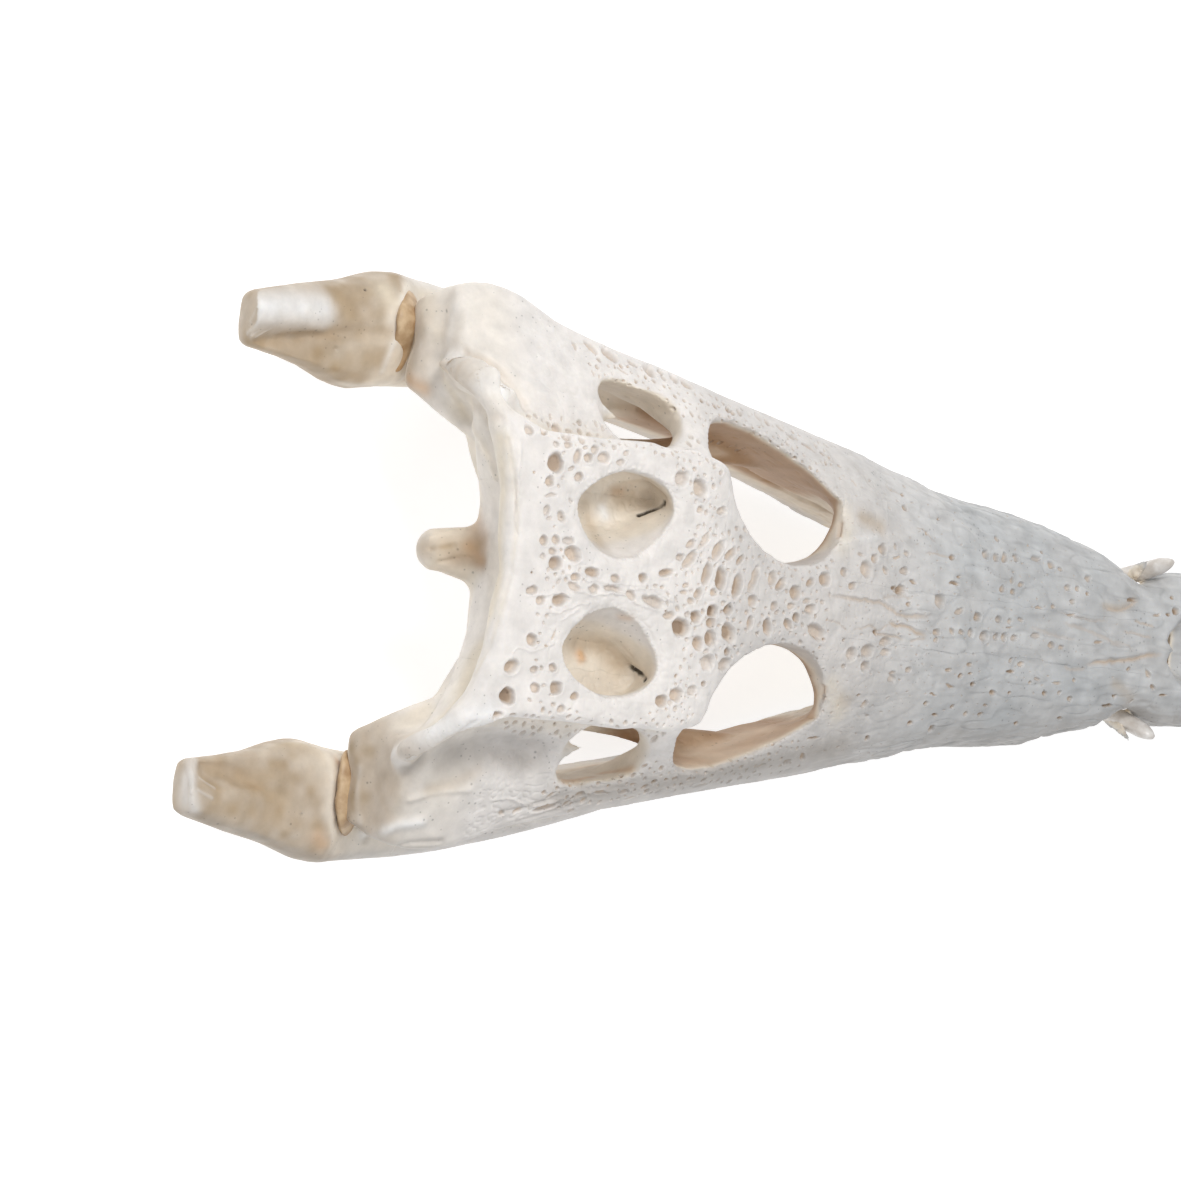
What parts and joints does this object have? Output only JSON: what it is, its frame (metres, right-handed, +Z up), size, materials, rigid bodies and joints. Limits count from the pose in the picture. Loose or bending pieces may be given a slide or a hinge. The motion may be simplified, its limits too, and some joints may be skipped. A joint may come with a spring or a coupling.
{
  "type": "crocodile skull",
  "caption": "Bleached crocodile skull with its lower jaw closed, lying on a flat surface: pitted skull table, open orbits and temporal openings, toothed snout.",
  "frame": {"origin": "on the floor, under the centre of the skull's bounding box", "axes": "+Z up from the floor that the lower jaw rests on, -Y towards the tip of the snout, +X towards the skull's own left side"},
  "size_m": [0.1323, 0.305, 0.0714],
  "materials": {
    "bone": "matte",
    "cream_bone": "matte"
  },
  "bodies": {
    "root": {"premaxillae": "bone", "nasals": "bone", "maxilla_left": "bone", "maxilla_right": "bone", "frontal": "bone", "jugal_left": "bone", "jugal_right": "bone", "skull_table": "bone", "palate": "cream_bone", "braincase": "cream_bone", "quadrate_left": "bone", "quadrate_right": "bone", "dentary_left": "bone", "dentary_right": "bone", "angular_left": "bone", "angular_right": "bone", "articular_left": "cream_bone", "articular_right": "cream_bone"}
  },
  "joints": []
}
